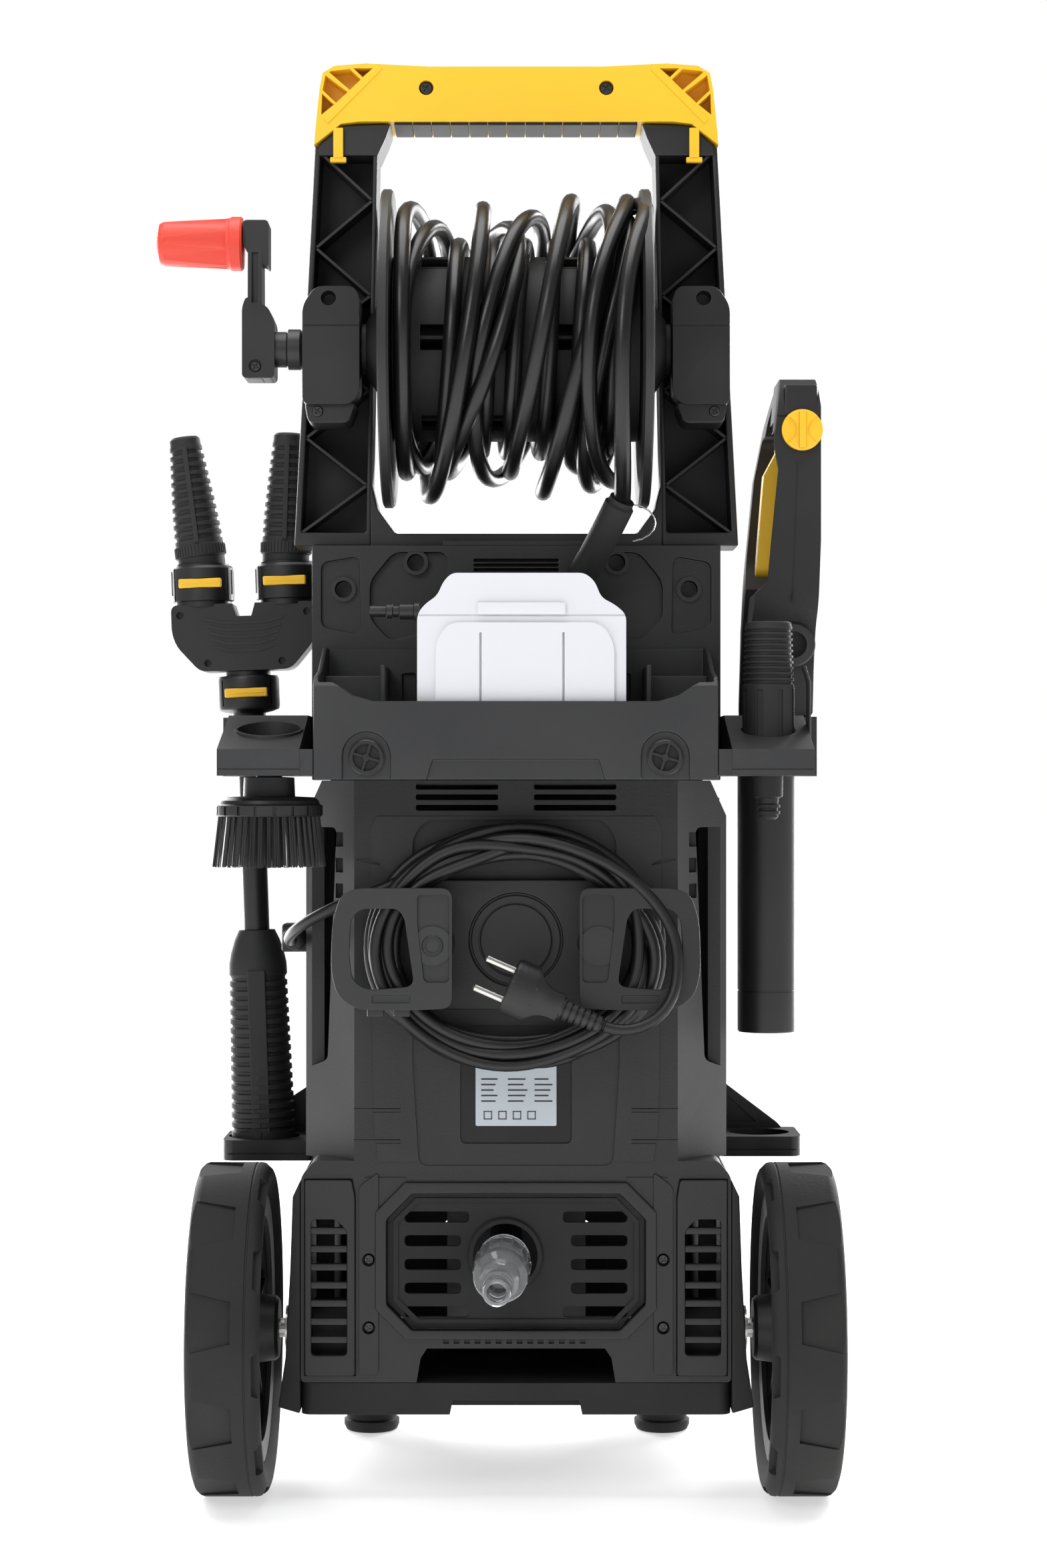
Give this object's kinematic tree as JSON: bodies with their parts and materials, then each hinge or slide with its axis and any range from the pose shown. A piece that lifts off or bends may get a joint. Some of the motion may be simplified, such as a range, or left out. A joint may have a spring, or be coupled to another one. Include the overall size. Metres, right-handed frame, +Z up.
{
  "type": "pressure washer",
  "caption": "Upright wheeled electric pressure washer with hose reel, spray gun, lance, brush, detergent bottle and wound mains cord.",
  "frame": {"origin": "on the floor, at the centre of the machine's footprint box", "axes": "+Z up, -Y towards the rear with the wheels and the cord, +X towards the gun's side"},
  "size_m": [0.4306, 0.34, 0.905],
  "materials": {
    "black_plastic": "fine moulded grain",
    "grey_plastic": "fine moulded grain, a shade lighter",
    "yellow_plastic": "smooth satin",
    "red_plastic": "smooth satin",
    "bottle_plastic": "milky, lets light through",
    "clear_plastic": "clear",
    "tyre_rubber": "hard tread",
    "foot_rubber": "soft",
    "cord_rubber": "smooth sheath",
    "hose_rubber": "satin sheath",
    "steel": "bright",
    "motor_metal": "cast"
  },
  "bodies": {
    "root": {"base": "black_plastic", "foot_left": "foot_rubber", "foot_right": "foot_rubber", "axle": "steel", "front_shell": "black_plastic", "rear_shell": "black_plastic", "top_deck": "black_plastic", "inlet_cover": "black_plastic", "side_vent_left": "black_plastic", "side_vent_right": "black_plastic", "hook_right": "black_plastic", "cord_coil": "cord_rubber", "cord_lead": "cord_rubber", "cord_tail": "cord_rubber", "plug": "cord_rubber", "cord_gland": "cord_rubber", "tray": "grey_plastic", "holder_left": "grey_plastic", "holder_right": "grey_plastic", "cradle_left": "black_plastic", "cradle_right": "black_plastic", "post_left": "black_plastic", "post_right": "black_plastic", "handle_grip": "yellow_plastic", "bearing_left": "black_plastic", "bearing_right": "black_plastic", "hose_end": "hose_rubber", "inlet_connector": "clear_plastic", "motor": "motor_metal", "pump": "motor_metal"},
    "wheel_left": {"rim_left": "black_plastic", "tyre_left": "tyre_rubber", "hubcap_left": "yellow_plastic"},
    "wheel_right": {"rim_right": "black_plastic", "tyre_right": "tyre_rubber", "hubcap_right": "yellow_plastic"},
    "reel": {"reel_shaft": "black_plastic", "reel_drum": "black_plastic", "flange_left": "black_plastic", "flange_right": "black_plastic", "crank_arm": "black_plastic", "hose_coil": "hose_rubber"},
    "crank_handle": {"crank_grip": "red_plastic"},
    "gun": {"gun_body": "black_plastic", "gun_barrel": "black_plastic"},
    "gun_trigger": {"trigger": "yellow_plastic"},
    "gun_dial": {"gun_knob": "yellow_plastic"},
    "lance": {"lance_grip": "black_plastic", "lance_tube": "black_plastic", "twin_body": "black_plastic", "nozzle_left": "black_plastic", "nozzle_right": "black_plastic"},
    "release_left": {"button_left": "yellow_plastic"},
    "release_right": {"button_right": "yellow_plastic"},
    "release_low": {"button_low": "yellow_plastic"},
    "fan_lance": {"fan_nozzle": "black_plastic"},
    "brush": {"brush_head": "black_plastic"},
    "detergent_bottle": {"bottle": "bottle_plastic"},
    "cord_hook": {"hook_left": "black_plastic"},
    "switch": {"switch_knob": "yellow_plastic"}
  },
  "joints": [
    {"name": "wheel_left_spin", "type": "hinge", "parent": "root", "child": "wheel_left", "pos_m": [-0.16073, -0.0665, 0.1035], "axis": [1, 0, 0], "continuous": true},
    {"name": "wheel_right_spin", "type": "hinge", "parent": "root", "child": "wheel_right", "pos_m": [0.19127, -0.0665, 0.1035], "axis": [1, 0, 0], "continuous": true},
    {"name": "reel_turn", "type": "hinge", "parent": "root", "child": "reel", "pos_m": [0.01527, -0.05, 0.72], "axis": [1, 0, 0], "continuous": true},
    {"name": "crank_grip_spin", "type": "hinge", "parent": "reel", "child": "crank_handle", "pos_m": [-0.18473, -0.05, 0.787], "axis": [1, 0, 0], "continuous": true},
    {"name": "gun_lift", "type": "slide", "parent": "root", "child": "gun", "axis": [0, 0, 1], "range_m": [0, 0.2]},
    {"name": "trigger_pull", "type": "hinge", "parent": "gun", "child": "gun_trigger", "pos_m": [0.18877, 0, 0.664], "axis": [-1, 0, 0], "range_deg": [0, 12], "stiffness_Nm_per_rad": 0.5, "springref_deg": -5.73},
    {"name": "gun_dial_turn", "type": "hinge", "parent": "gun", "child": "gun_dial", "pos_m": [0.19657, -0.045, 0.6695], "axis": [0, 1, 0], "range_deg": [0, 90]},
    {"name": "lance_lift", "type": "slide", "parent": "root", "child": "lance", "axis": [-0.0349, 0, 0.9994], "range_m": [0, 0.06]},
    {"name": "release_left_press", "type": "slide", "parent": "lance", "child": "release_left", "axis": [0, 1, 0], "range_m": [0, 0.002], "stiffness_N_per_m": 200, "springref_m": -0.001},
    {"name": "release_right_press", "type": "slide", "parent": "lance", "child": "release_right", "axis": [0, 1, 0], "range_m": [0, 0.002], "stiffness_N_per_m": 200, "springref_m": -0.001},
    {"name": "release_low_press", "type": "slide", "parent": "lance", "child": "release_low", "axis": [0, 1, 0], "range_m": [0, 0.002], "stiffness_N_per_m": 200, "springref_m": -0.001},
    {"name": "fan_nozzle_lift", "type": "slide", "parent": "root", "child": "fan_lance", "axis": [0, 0, 1], "range_m": [0, 0.06]},
    {"name": "brush_spin", "type": "hinge", "parent": "root", "child": "brush", "pos_m": [-0.13673, -0.105, 0.43], "axis": [0, 0, 1], "continuous": true},
    {"name": "bottle_lift", "type": "slide", "parent": "root", "child": "detergent_bottle", "axis": [0, 0, 1], "range_m": [0, 0.038]},
    {"name": "hook_swivel", "type": "hinge", "parent": "root", "child": "cord_hook", "pos_m": [-0.03523, -0.1405, 0.347], "axis": [0, -1, 0], "range_deg": [0, 90]},
    {"name": "switch_turn", "type": "hinge", "parent": "root", "child": "switch", "pos_m": [0.01527, 0.158, 0.26], "axis": [0, -1, 0], "range_deg": [0, 90]}
  ]
}
